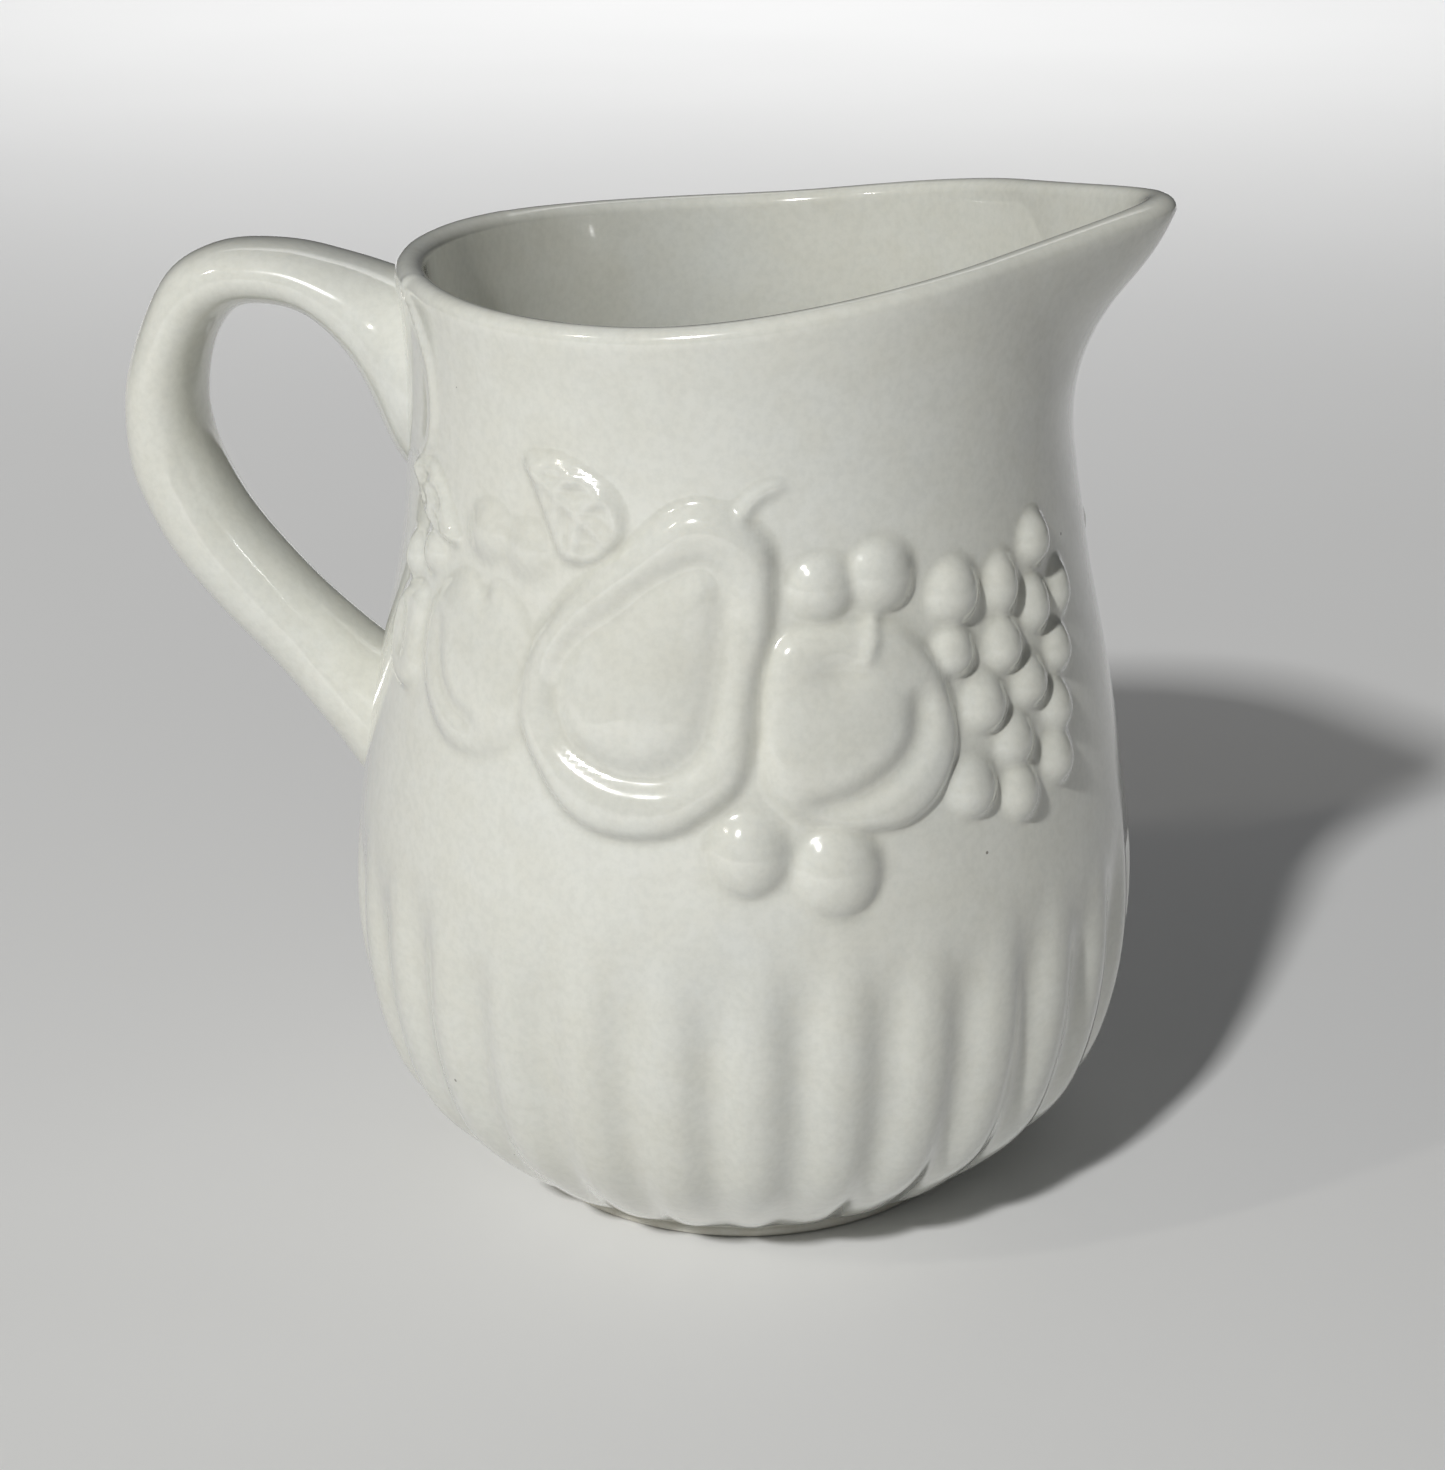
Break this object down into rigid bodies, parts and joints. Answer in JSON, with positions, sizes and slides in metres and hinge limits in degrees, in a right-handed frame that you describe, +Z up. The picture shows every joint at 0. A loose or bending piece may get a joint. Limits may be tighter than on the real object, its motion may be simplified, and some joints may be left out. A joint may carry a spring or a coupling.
{
  "type": "ceramic pitcher",
  "caption": "Glazed ceramic pitcher with a bow handle, a pointed pouring lip, a moulded fruit garland and a gadrooned belly on a plain foot ring.",
  "frame": {"origin": "centre of the foot ring on the plane that the pitcher stands on", "axes": "+Z up, +X towards the pouring lip, -X towards the handle; the XZ plane is the plane of symmetry"},
  "size_m": [0.1915, 0.1464, 0.1859],
  "materials": {
    "glaze": "glossy off-white tin glaze",
    "bare_clay": "bare fired buff clay, matt"
  },
  "bodies": {
    "root": {"body": "glaze", "foot_ring": "bare_clay", "handle": "glaze", "upper_joint_pad": "glaze", "lower_joint_slip": "glaze", "near_pear": "glaze", "far_pear": "glaze", "near_pear_stalk": "glaze", "far_pear_stalk": "glaze", "near_left_apple": "glaze", "far_left_apple": "glaze", "near_right_apple": "glaze", "far_right_apple": "glaze", "near_handle_plum": "glaze", "far_handle_plum": "glaze", "near_leaf": "glaze", "far_leaf": "glaze", "near_handle_leaf": "glaze", "far_handle_leaf": "glaze", "near_upper_berries": "glaze", "far_upper_berries": "glaze", "near_handle_berries": "glaze", "far_handle_berries": "glaze", "near_hanging_berries": "glaze", "far_hanging_berries": "glaze", "near_grapes": "glaze", "far_grapes": "glaze"}
  },
  "joints": []
}
